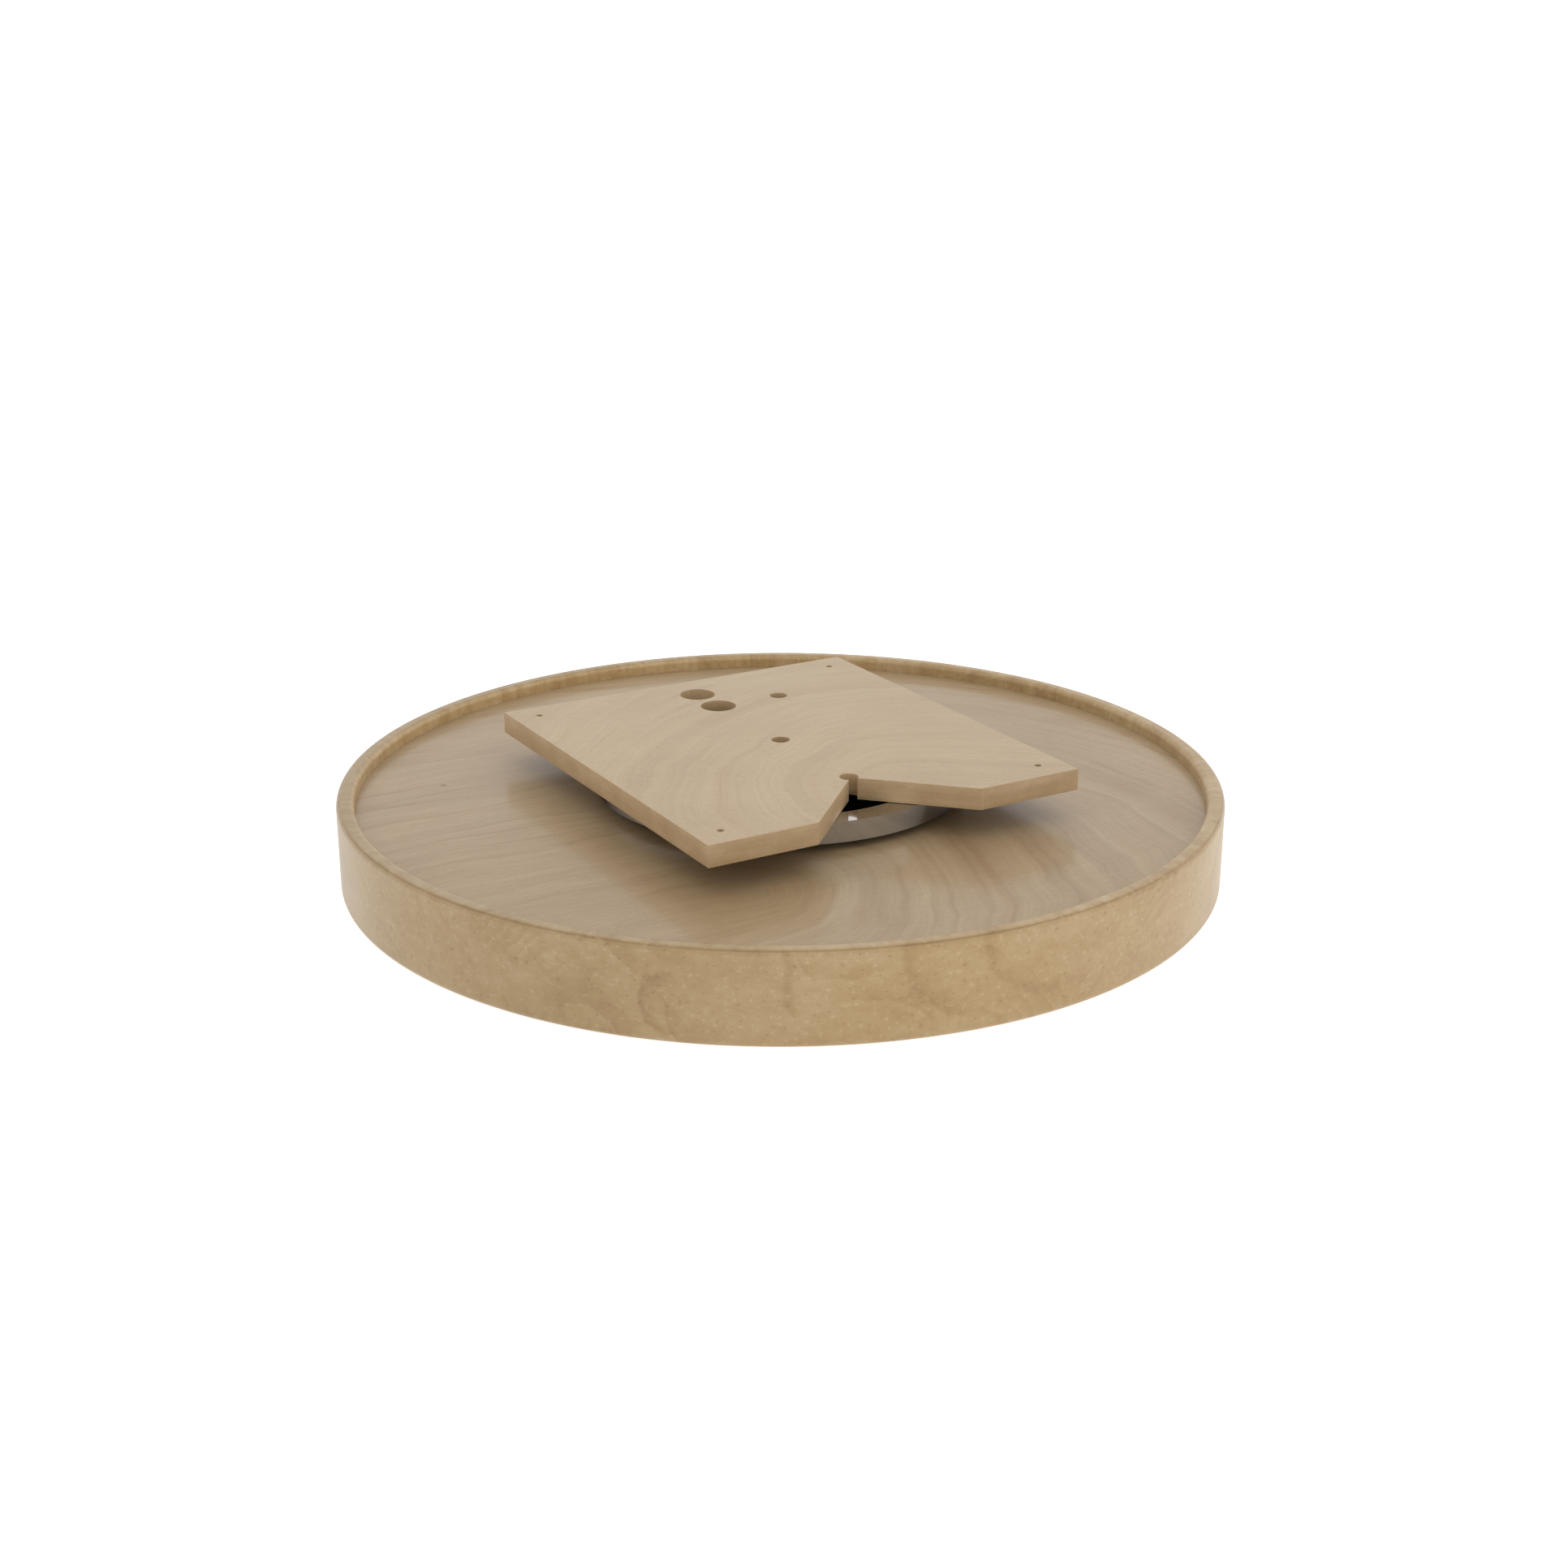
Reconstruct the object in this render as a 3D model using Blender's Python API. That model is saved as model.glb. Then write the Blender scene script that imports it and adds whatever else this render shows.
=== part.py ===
"""Wooden kitchen turntable (lazy susan), 24 inch class, lying upside down on its rim.

A plywood panel sits in a bent hoop and makes a round tray. A caged ball bearing on the tray's
underside carries a notched mounting plate. In use the whole thing is turned over, the plate is
screwed to a cabinet shelf through its corner holes, and the tray turns on the bearing.

Frame: metres, +Z up, origin on the turning axis in the plane that the rim stands on. The plate's
short sides run along X, its long sides along Y, and its notch faces -Y.
"""
import math

import bmesh
import bpy
from mathutils import Matrix, Vector

MM = 0.001
INCH = 0.0254

# Driving dimensions: the tray
TRAY_RADIUS = 302.9 * MM
RIM_HEIGHT = 61.1 * MM
RIM_THICKNESS = 12.0 * MM
RIM_ROUNDING = 4.0 * MM
PANEL_THICKNESS = 12.7 * MM
PANEL_RECESS = 0.375 * INCH
PANEL_TONGUE_THICKNESS = 6.7 * MM
PANEL_TONGUE_LENGTH = 4.0 * MM

# Driving dimensions: the mounting plate
PLATE_WIDTH = 11.0 * INCH
PLATE_LENGTH = 12.0 * INCH
PLATE_THICKNESS = 14.8 * MM
PLATE_ABOVE_RIM = 10.5 * MM
CORNER_HOLE_INSET_X = 0.75 * INCH
CORNER_HOLE_INSET_Y = 0.75 * INCH
CORNER_HOLE_RADIUS = 2.3 * MM
DRIVER_HOLE_RADIUS = 0.5 * INCH
SMALL_HOLE_RADIUS = 0.25 * INCH
OUTER_DRIVER_HOLE_Y = 4.75 * INCH
SIDE_HOLE_X = 50.0 * MM
NOTCH_HALF_WIDTH = 2.42 * INCH

# Driving dimensions: the bearing
RING_RADIUS = 5.0 * INCH
RING_ABOVE_PANEL = 5.5 * MM
RING_TOP_GAP = 0.3 * MM
RING_EDGE_CHAMFER = 0.3 * MM
RING_WALL = 3.0 * MM
RING_WEB = 3.4 * MM
DISC_SEAT_RADIUS = 110.8 * MM
DISC_THICKNESS = 2.6 * MM
DISC_BORE = 72.0 * MM
DISC_ACCESS_RADIUS = 7.0 * MM
BALL_COUNT = 24
BALL_RADIUS = 0.09375 * INCH
BALL_CIRCLE = 105.5 * MM
BALL_ABOVE_PANEL = 11.0 * MM
RACE_HALF_GAP = 1.5 * MM
OUTER_RACE_WALL = 4.0 * MM
GROOVE_CLEARANCE = 0.4 * MM
INNER_RACE_BORE = 98.0 * MM
BASE_FLANGE_THICKNESS = 2.2 * MM
BASE_FLANGE_INNER = 83.0 * MM
BASE_FLANGE_OUTER = 109.0 * MM
CAP_WALL = 3.5 * MM
CAP_ABOVE_BALLS = 3.5 * MM
TRAY_SCREW_CIRCLE = 3.5 * INCH
PLATE_SCREW_CIRCLE = 117.5 * MM
CAGE_HALF_WALL = 0.6 * MM
CAGE_HALF_HEIGHT = 3.5 * MM
CAGE_POCKET_CLEARANCE = 0.3 * MM
CAGE_POCKET_DEPTH = 3.6 * MM
CAGE_STEPS = 96
BALL_START_ANGLE = math.pi / CAGE_STEPS

# Driving dimensions: the screws
SCREW_COUNT = 6
SHANK_RADIUS = 2.1 * MM
HEAD_RADIUS = 4.0 * MM
HEAD_HEIGHT = 2.0 * MM
HEAD_SHOULDER_RADIUS = 3.8 * MM
HEAD_SHOULDER_HEIGHT = 1.2 * MM
HEAD_CROWN_RADIUS = 2.6 * MM
TRAY_SCREW_LENGTH = 14.0 * MM
PLATE_SCREW_LENGTH = 14.0 * MM
TIP_LENGTH = 3.0 * MM
TIP_RADIUS = 0.6 * MM
DRIVE_HALF_WIDTH = 1.3 * MM
DRIVE_DEPTH = 1.5 * MM

# Gap that keeps touching pieces apart, and the fineness of round shapes
FIT_GAP = 0.3 * MM
TRAY_STEPS = 96
BEARING_STEPS = 64
HOLE_STEPS = 24
SCREW_STEPS = 16
POCKET_STEPS = 12
FILLET_STEPS = 2
GROOVE_STEPS = 3
HALF_GROOVE_STEPS = 2
SMOOTH_ANGLE = math.radians(35.0)
LEVEL_NORMAL = 0.999
MERGE_DISTANCE = 0.001 * MM

# Heights that follow from the driving dimensions
PANEL_TOP = RIM_HEIGHT - PANEL_RECESS
PANEL_BOTTOM = PANEL_TOP - PANEL_THICKNESS
TONGUE_TOP = PANEL_TOP - (PANEL_THICKNESS - PANEL_TONGUE_THICKNESS) / 2
TONGUE_BOTTOM = TONGUE_TOP - PANEL_TONGUE_THICKNESS
PLATE_BOTTOM = RIM_HEIGHT + PLATE_ABOVE_RIM
PLATE_TOP = PLATE_BOTTOM + PLATE_THICKNESS
RING_BOTTOM = PANEL_TOP + RING_ABOVE_PANEL
RING_TOP = PLATE_BOTTOM - RING_TOP_GAP
DISC_BOTTOM = RING_TOP - DISC_THICKNESS
BASE_BOTTOM = PANEL_TOP + FIT_GAP
BASE_FLANGE_TOP = BASE_BOTTOM + BASE_FLANGE_THICKNESS
CAP_FLANGE_BOTTOM = BASE_FLANGE_TOP + FIT_GAP
CAP_FLANGE_TOP = CAP_FLANGE_BOTTOM + BASE_FLANGE_THICKNESS
BALL_HEIGHT = PANEL_TOP + BALL_ABOVE_PANEL
GROOVE_RADIUS = BALL_RADIUS + GROOVE_CLEARANCE
GROOVE_HALF_ANGLE = math.degrees(math.acos(RACE_HALF_GAP / GROOVE_RADIUS))
NOTCH_APEX_Y = NOTCH_HALF_WIDTH - PLATE_LENGTH / 2


def clear_scene():
    for old in list(bpy.data.objects):
        bpy.data.objects.remove(old, do_unlink=True)


def finish_material(name, colour, roughness, metallic=0.0, coat=0.0):
    """One Principled material with the piece's own colour and gloss."""
    material = bpy.data.materials.new(name)
    material.use_nodes = True
    shader = material.node_tree.nodes["Principled BSDF"]
    shader.inputs["Base Color"].default_value = (*colour, 1.0)
    shader.inputs["Roughness"].default_value = roughness
    shader.inputs["Metallic"].default_value = metallic
    shader.inputs["Coat Weight"].default_value = coat
    return material


def maple_material(name):
    return finish_material(name, (0.56, 0.43, 0.29), 0.42, coat=0.25)


def chrome_material(name):
    return finish_material(name, (0.62, 0.60, 0.58), 0.12, metallic=1.0)


def black_material(name):
    return finish_material(name, (0.012, 0.012, 0.012), 0.45)


def nylon_material(name):
    return finish_material(name, (0.70, 0.69, 0.65), 0.5)


def steel_material(name):
    return finish_material(name, (0.55, 0.55, 0.56), 0.22, metallic=1.0)


def add_object(name, bm, material):
    """Turn a bmesh into a named object with outward faces and its own material.

    Level faces are shaded flat, so that holes cut in them later leave their shading clean.
    """
    bmesh.ops.recalc_face_normals(bm, faces=bm.faces)
    mesh = bpy.data.meshes.new(name)
    bm.to_mesh(mesh)
    bm.free()
    mesh.shade_smooth()
    mesh.set_sharp_from_angle(angle=SMOOTH_ANGLE)
    for face in mesh.polygons:
        face.use_smooth = abs(face.normal.z) < LEVEL_NORMAL
    piece = bpy.data.objects.new(name, mesh)
    bpy.context.scene.collection.objects.link(piece)
    if material:
        mesh.materials.append(material)
    return piece


def arc(centre_r, centre_z, radius, start, end, steps):
    """Points (radius, height) on a circular arc, from start to end in degrees."""
    points = []
    for step in range(steps + 1):
        angle = math.radians(start + (end - start) * step / steps)
        points.append((centre_r + radius * math.cos(angle), centre_z + radius * math.sin(angle)))
    return points


def rounded(corners, steps=FILLET_STEPS):
    """Closed outline from (radius, height, fillet) corners, with each fillet as an arc."""
    outline = []
    for index, (r, z, fillet) in enumerate(corners):
        if fillet == 0:
            outline.append((r, z))
            continue
        here = Vector((r, z))
        before = (Vector(corners[index - 1][:2]) - here).normalized()
        after = (Vector(corners[(index + 1) % len(corners)][:2]) - here).normalized()
        half = before.angle(after) / 2
        centre = here + (before + after).normalized() * fillet / math.sin(half)
        start = here + before * fillet / math.tan(half) - centre
        end = here + after * fillet / math.tan(half) - centre
        first = math.degrees(math.atan2(start.y, start.x))
        turn = math.degrees(math.atan2(end.y, end.x)) - first
        turn = (turn + 180.0) % 360.0 - 180.0
        outline += arc(centre.x, centre.y, fillet, first, first + turn, steps)
    return outline


def turned(name, outline, steps, material):
    """Solid of revolution about Z from a closed (radius, height) outline."""
    bm = bmesh.new()
    corners = [bm.verts.new((r, 0.0, z)) for r, z in outline]
    edges = [bm.edges.new((corners[i - 1], corners[i])) for i in range(len(corners))]
    bmesh.ops.spin(
        bm, geom=corners + edges, cent=(0, 0, 0), axis=(0, 0, 1), angle=2 * math.pi, steps=steps,
        use_merge=True,
    )
    bmesh.ops.remove_doubles(bm, verts=bm.verts, dist=MERGE_DISTANCE)
    return add_object(name, bm, material)


def ring_of_points(bm, radius, height, steps):
    """Points round a circle about Z, without faces."""
    places = [on_circle(radius, index, steps) for index in range(steps)]
    return [bm.verts.new((x, y, height)) for x, y in places]


def skin(bm, rings):
    """Closed skin over rings of equally many points, from the lowest ring to the last."""
    for below, above in zip(rings, rings[1:]):
        for i in range(len(below)):
            bm.faces.new((below[i - 1], below[i], above[i], above[i - 1]))
    bm.faces.new(rings[0])
    bm.faces.new(rings[-1])


def cylinder(bm, x, y, low, high, radius, steps):
    """Closed upright cylinder in an existing bmesh."""
    place = Matrix.Translation((x, y, (low + high) / 2))
    bmesh.ops.create_cone(
        bm, cap_ends=True, segments=steps, radius1=radius, radius2=radius, depth=high - low,
        matrix=place,
    )


def cut(piece, cutter):
    """Cut one piece with a hidden cutter."""
    cutter.hide_render = True
    cutter.display_type = "WIRE"
    boolean = piece.modifiers.new(f"cut_by_{cutter.name}", "BOOLEAN")
    boolean.operation = "DIFFERENCE"
    boolean.object = cutter
    boolean.solver = "EXACT"


def on_circle(radius, index, count, start=0.0):
    """Point number index of count evenly spaced points on a circle."""
    angle = start + 2 * math.pi * index / count
    return radius * math.cos(angle), radius * math.sin(angle)


def tray_screw_places():
    """One screw lies under the plate's inner driver hole at rest."""
    return [on_circle(TRAY_SCREW_CIRCLE, i, SCREW_COUNT, math.pi / 2) for i in range(SCREW_COUNT)]


def plate_screw_places():
    return [on_circle(PLATE_SCREW_CIRCLE, i, SCREW_COUNT) for i in range(SCREW_COUNT)]


def screw_hole_cutter(name, places, low, high):
    bm = bmesh.new()
    for x, y in places:
        cylinder(bm, x, y, low, high, SHANK_RADIUS + FIT_GAP, SCREW_STEPS)
    return add_object(name, bm, None)


def build_rim_band():
    """Bent hoop with rounded edges, and a groove inside that holds the panel's tongue."""
    inner = TRAY_RADIUS - RIM_THICKNESS
    groove = inner + PANEL_TONGUE_LENGTH
    outline = rounded([
        (TRAY_RADIUS, 0.0, RIM_ROUNDING),
        (TRAY_RADIUS, RIM_HEIGHT, RIM_ROUNDING),
        (inner, RIM_HEIGHT, RIM_ROUNDING),
        (inner, TONGUE_TOP + FIT_GAP, 0),
        (groove, TONGUE_TOP + FIT_GAP, 0),
        (groove, TONGUE_BOTTOM - FIT_GAP, 0),
        (inner, TONGUE_BOTTOM - FIT_GAP, 0),
        (inner, 0.0, RIM_ROUNDING),
    ])
    turned("rim_band", outline, TRAY_STEPS, maple_material("rim_maple"))


def build_tray_panel():
    """Plywood disc with a tongue round its edge and pilot holes for the bearing's screws."""
    bm = bmesh.new()
    shoulder = TRAY_RADIUS - RIM_THICKNESS - FIT_GAP
    tongue = shoulder + PANEL_TONGUE_LENGTH
    outline = [
        (shoulder, PANEL_BOTTOM),
        (shoulder, TONGUE_BOTTOM),
        (tongue, TONGUE_BOTTOM),
        (tongue, TONGUE_TOP),
        (shoulder, TONGUE_TOP),
        (shoulder, PANEL_TOP),
    ]
    skin(bm, [ring_of_points(bm, radius, height, TRAY_STEPS) for radius, height in outline])
    panel = add_object("tray_panel", bm, maple_material("panel_maple"))
    bottom = CAP_FLANGE_TOP - TRAY_SCREW_LENGTH
    cut(panel, screw_hole_cutter("pilot_holes", tray_screw_places(), bottom, PANEL_TOP + MM))


def build_swivel_ring():
    """Bright ring under the plate: an upside down channel whose inner leg is the outer race."""
    race = BALL_CIRCLE + RACE_HALF_GAP
    groove = arc(
        BALL_CIRCLE, BALL_HEIGHT, GROOVE_RADIUS, GROOVE_HALF_ANGLE, -GROOVE_HALF_ANGLE, GROOVE_STEPS)
    outline = rounded([
        (RING_RADIUS - RING_WALL, RING_BOTTOM, 0),
        (RING_RADIUS, RING_BOTTOM, RING_EDGE_CHAMFER),
        (RING_RADIUS, RING_TOP, RING_EDGE_CHAMFER),
        (DISC_SEAT_RADIUS, RING_TOP, 0),
        (DISC_SEAT_RADIUS, DISC_BOTTOM - FIT_GAP, 0),
        (race, DISC_BOTTOM - FIT_GAP, 0),
    ], steps=1)
    outline += groove
    outline += [
        (race, RING_BOTTOM),
        (race + OUTER_RACE_WALL, RING_BOTTOM),
        (race + OUTER_RACE_WALL, RING_TOP - RING_WEB),
        (RING_RADIUS - RING_WALL, RING_TOP - RING_WEB),
    ]
    ring = turned("swivel_ring", outline, BEARING_STEPS, chrome_material("ring_chrome"))
    low = RING_TOP - RING_WEB - MM
    cut(ring, screw_hole_cutter("web_holes", plate_screw_places(), low, RING_TOP + MM))


def build_dust_disc():
    """Black disc that lies in the ring's seat, with one hole for reaching the tray's screws."""
    outline = [
        (DISC_BORE, DISC_BOTTOM),
        (DISC_SEAT_RADIUS - FIT_GAP, DISC_BOTTOM),
        (DISC_SEAT_RADIUS - FIT_GAP, RING_TOP),
        (DISC_BORE, RING_TOP),
    ]
    disc = turned("dust_disc", outline, BEARING_STEPS, black_material("disc_black"))
    bm = bmesh.new()
    low = DISC_BOTTOM - MM
    cylinder(bm, 0.0, TRAY_SCREW_CIRCLE, low, RING_TOP + MM, DISC_ACCESS_RADIUS, HOLE_STEPS)
    cut(disc, add_object("disc_access_hole", bm, None))


def build_inner_race():
    """Inner race in two halves on the tray, which the tray's screws clamp round the balls."""
    race = BALL_CIRCLE - RACE_HALF_GAP
    split = FIT_GAP / 2
    split_angle = math.degrees(math.asin(split / GROOVE_RADIUS))
    lower_groove = arc(
        BALL_CIRCLE, BALL_HEIGHT, GROOVE_RADIUS, 180 + split_angle, 180 + GROOVE_HALF_ANGLE,
        HALF_GROOVE_STEPS)
    base_outline = [
        (INNER_RACE_BORE, BALL_HEIGHT - split),
        *lower_groove,
        (race, BASE_FLANGE_TOP),
        (BASE_FLANGE_OUTER, BASE_FLANGE_TOP),
        (BASE_FLANGE_OUTER, BASE_BOTTOM),
        (BASE_FLANGE_INNER, BASE_BOTTOM),
        (BASE_FLANGE_INNER, BASE_FLANGE_TOP),
        (INNER_RACE_BORE, BASE_FLANGE_TOP),
    ]
    upper_groove = arc(
        BALL_CIRCLE, BALL_HEIGHT, GROOVE_RADIUS, 180 - GROOVE_HALF_ANGLE, 180 - split_angle,
        HALF_GROOVE_STEPS)
    sleeve = INNER_RACE_BORE - FIT_GAP
    cap_outline = [
        (sleeve - CAP_WALL, BALL_HEIGHT + CAP_ABOVE_BALLS),
        (race, BALL_HEIGHT + CAP_ABOVE_BALLS),
        *upper_groove,
        (sleeve, BALL_HEIGHT + split),
        (sleeve, CAP_FLANGE_BOTTOM),
        (BASE_FLANGE_INNER, CAP_FLANGE_BOTTOM),
        (BASE_FLANGE_INNER, CAP_FLANGE_TOP),
        (sleeve - CAP_WALL, CAP_FLANGE_TOP),
    ]
    base = turned("base_race", base_outline, BEARING_STEPS, steel_material("base_steel"))
    cap = turned("race_cap", cap_outline, BEARING_STEPS, steel_material("cap_steel"))
    places = tray_screw_places()
    holes = screw_hole_cutter("flange_holes", places, BASE_BOTTOM - MM, CAP_FLANGE_TOP + MM)
    cut(base, holes)
    cut(cap, holes)


def build_ball_cage():
    """Nylon cage with one round pocket for each ball, on its own turning origin."""
    inner = BALL_CIRCLE - CAGE_HALF_WALL
    outer = BALL_CIRCLE + CAGE_HALF_WALL
    low = BALL_HEIGHT - CAGE_HALF_HEIGHT
    high = BALL_HEIGHT + CAGE_HALF_HEIGHT
    outline = [(inner, low), (outer, low), (outer, high), (inner, high)]
    cage = turned("ball_cage", outline, CAGE_STEPS, nylon_material("cage_nylon"))
    bm = bmesh.new()
    for index in range(BALL_COUNT):
        x, y = on_circle(BALL_CIRCLE, index, BALL_COUNT, BALL_START_ANGLE)
        lie = Vector((x, y, 0.0)).to_track_quat("Z", "Y").to_matrix().to_4x4()
        bmesh.ops.create_cone(
            bm, cap_ends=True, segments=POCKET_STEPS, radius1=BALL_RADIUS + CAGE_POCKET_CLEARANCE,
            radius2=BALL_RADIUS + CAGE_POCKET_CLEARANCE, depth=CAGE_POCKET_DEPTH,
            matrix=Matrix.Translation((x, y, BALL_HEIGHT)) @ lie,
        )
    cut(cage, add_object("cage_pockets", bm, None))


def build_balls():
    """Steel balls, each its own object, all sharing one mesh."""
    bm = bmesh.new()
    bmesh.ops.create_icosphere(bm, subdivisions=2, radius=BALL_RADIUS)
    first = add_object("ball_01", bm, steel_material("ball_steel"))
    for index in range(BALL_COUNT):
        ball = first
        if index:
            ball = bpy.data.objects.new(f"ball_{index + 1:02d}", first.data)
            bpy.context.scene.collection.objects.link(ball)
        place = on_circle(BALL_CIRCLE, index, BALL_COUNT, BALL_START_ANGLE)
        ball.location = (*place, BALL_HEIGHT)


def square_of_points(bm, half_width, height):
    """The same number of points as a screw's ring, but lying on a square."""
    points = []
    for index in range(SCREW_STEPS):
        x, y = on_circle(1.0, index, SCREW_STEPS)
        reach = half_width / max(abs(x), abs(y))
        points.append(bm.verts.new((x * reach, y * reach, height)))
    return points


def screw_mesh(name, length):
    """Pan head screw pointing down, head seat at height 0, with a square drive in its head."""
    bm = bmesh.new()
    outline = [
        (TIP_RADIUS, -length),
        (SHANK_RADIUS, TIP_LENGTH - length),
        (SHANK_RADIUS, 0.0),
        (HEAD_RADIUS, 0.0),
        (HEAD_SHOULDER_RADIUS, HEAD_SHOULDER_HEIGHT),
        (HEAD_CROWN_RADIUS, HEAD_HEIGHT),
    ]
    rings = [ring_of_points(bm, radius, height, SCREW_STEPS) for radius, height in outline]
    rings.append(square_of_points(bm, DRIVE_HALF_WIDTH, HEAD_HEIGHT))
    rings.append(square_of_points(bm, DRIVE_HALF_WIDTH, HEAD_HEIGHT - DRIVE_DEPTH))
    skin(bm, rings)
    return add_object(name, bm, steel_material(f"{name}_steel"))


def place_screws(name, first, places, height, turn):
    """Copies of one screw at each place, heads up, or heads down after a half turn about X."""
    for index, (x, y) in enumerate(places):
        screw = first
        if index:
            screw = bpy.data.objects.new(f"{name}_{index + 1}", first.data)
            bpy.context.scene.collection.objects.link(screw)
        screw.location = (x, y, height)
        screw.rotation_euler = (turn, 0.0, 0.0)


def build_screws():
    """Tray screws hold both inner race flanges down, plate screws hold the ring up to the plate."""
    tray = screw_mesh("tray_screw_1", TRAY_SCREW_LENGTH)
    place_screws("tray_screw", tray, tray_screw_places(), CAP_FLANGE_TOP + FIT_GAP, 0.0)
    plate = screw_mesh("plate_screw_1", PLATE_SCREW_LENGTH)
    seat = RING_TOP - RING_WEB - FIT_GAP
    place_screws("plate_screw", plate, plate_screw_places(), seat, math.pi)


def plate_holes():
    """Places and radii of the plate's through holes."""
    holes = [
        (0.0, OUTER_DRIVER_HOLE_Y, DRIVER_HOLE_RADIUS),
        (0.0, TRAY_SCREW_CIRCLE, DRIVER_HOLE_RADIUS),
        (SIDE_HOLE_X, TRAY_SCREW_CIRCLE, SMALL_HOLE_RADIUS),
        (0.0, 0.0, SMALL_HOLE_RADIUS),
        (0.0, -TRAY_SCREW_CIRCLE, SMALL_HOLE_RADIUS),
    ]
    corner_x = PLATE_WIDTH / 2 - CORNER_HOLE_INSET_X
    corner_y = PLATE_LENGTH / 2 - CORNER_HOLE_INSET_Y
    for x in (-corner_x, corner_x):
        for y in (-corner_y, corner_y):
            holes.append((x, y, CORNER_HOLE_RADIUS))
    return holes


def build_mounting_plate():
    """Rectangular plate with a 45 degree V notch that opens into the front small hole."""
    half_x = PLATE_WIDTH / 2
    half_y = PLATE_LENGTH / 2
    corners = [
        (-half_x, -half_y),
        (-NOTCH_HALF_WIDTH, -half_y),
        (0.0, NOTCH_APEX_Y),
        (NOTCH_HALF_WIDTH, -half_y),
        (half_x, -half_y),
        (half_x, half_y),
        (-half_x, half_y),
    ]
    bm = bmesh.new()
    face = bm.faces.new([bm.verts.new((x, y, PLATE_BOTTOM)) for x, y in corners])
    grown = bmesh.ops.extrude_face_region(bm, geom=[face])["geom"]
    moved = [part for part in grown if isinstance(part, bmesh.types.BMVert)]
    bmesh.ops.translate(bm, verts=moved, vec=(0, 0, PLATE_THICKNESS))
    plate = add_object("mounting_plate", bm, maple_material("plate_maple"))
    bm = bmesh.new()
    for x, y, radius in plate_holes():
        cylinder(bm, x, y, PLATE_BOTTOM - MM, PLATE_TOP + MM, radius, HOLE_STEPS)
    cut(plate, add_object("plate_through_holes", bm, None))
    tip = RING_TOP - RING_WEB + PLATE_SCREW_LENGTH
    cut(plate, screw_hole_cutter("plate_pilot_holes", plate_screw_places(), PLATE_BOTTOM - MM, tip))


clear_scene()
build_rim_band()
build_tray_panel()
build_inner_race()
build_ball_cage()
build_balls()
build_swivel_ring()
build_dust_disc()
build_mounting_plate()
build_screws()
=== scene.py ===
"""Looks of the wooden kitchen turntable (lazy susan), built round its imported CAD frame.

The turntable lies upside down on its rim. The tray stands still, and the ball cage and the swivel
plate turn about Z. Every shape but the ball cage is built here again in finer meshes at the
frame's own places, and all wood, metal and plastic is procedural. Metres, +Z up, in the frame's
own coordinates.
"""
import math

import bmesh
import bpy
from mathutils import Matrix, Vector


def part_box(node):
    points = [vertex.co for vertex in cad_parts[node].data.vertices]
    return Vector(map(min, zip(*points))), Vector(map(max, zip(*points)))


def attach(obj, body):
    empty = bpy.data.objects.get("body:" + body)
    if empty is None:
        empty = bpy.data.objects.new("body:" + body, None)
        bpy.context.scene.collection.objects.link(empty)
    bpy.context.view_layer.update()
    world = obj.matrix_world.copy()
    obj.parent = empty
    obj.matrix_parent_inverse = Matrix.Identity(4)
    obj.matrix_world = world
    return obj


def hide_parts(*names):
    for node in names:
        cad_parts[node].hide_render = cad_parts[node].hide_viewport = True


MM = 0.001
INCH = 0.0254

# Sizes that a node's box does not give
RIM_THICKNESS = 12.0 * MM
RIM_ROUNDING = 4.0 * MM
TONGUE_THICKNESS = 6.7 * MM
TONGUE_LENGTH = 4.0 * MM
CLOSE_FIT = 0.05 * MM
CORNER_HOLE_INSET = 0.75 * INCH
CORNER_HOLE_RADIUS = 2.3 * MM
DRIVER_HOLE_RADIUS = 0.5 * INCH
SMALL_HOLE_RADIUS = 0.25 * INCH
OUTER_DRIVER_HOLE_Y = 4.75 * INCH
INNER_HOLE_Y = 3.5 * INCH
SIDE_HOLE_X = 50.0 * MM
NOTCH_HALF_WIDTH = 2.42 * INCH
PLATE_ROUNDING = 0.15 * MM
RING_WALL = 3.0 * MM
RING_WEB = 3.4 * MM
DISC_BORE = 72.0 * MM
DISC_ACCESS_RADIUS = 7.0 * MM
DISC_ROUNDING = 0.2 * MM
BALL_COUNT = 24
BALL_RADIUS = 0.09375 * INCH
BALL_CIRCLE = 105.5 * MM
RACE_HALF_GAP = 1.5 * MM
OUTER_RACE_WALL = 4.0 * MM
GROOVE_RADIUS = BALL_RADIUS + 0.4 * MM
GROOVE_HALF_ANGLE = math.degrees(math.acos(RACE_HALF_GAP / GROOVE_RADIUS))
INNER_RACE_BORE = 98.0 * MM
FLANGE_THICKNESS = 2.2 * MM
FLANGE_BORE = 83.0 * MM
CAP_WALL = 3.5 * MM
RACE_SPLIT = 0.15 * MM
SLEEVE_GAP = 0.3 * MM
SCREW_COUNT = 6
SHANK_RADIUS = 2.1 * MM
THREAD_CORE = 1.45 * MM
THREAD_PITCH = 1.6 * MM
HEAD_RADIUS = 4.0 * MM
HEAD_HEIGHT = 2.0 * MM
HEAD_EDGE = 0.4 * MM
HEAD_DOME = math.radians(55.0)
DRIVE_HALF_WIDTH = 1.3 * MM
DRIVE_DEPTH = 1.5 * MM
TIP_LENGTH = 3.0 * MM
TIP_RADIUS = 0.3 * MM

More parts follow.
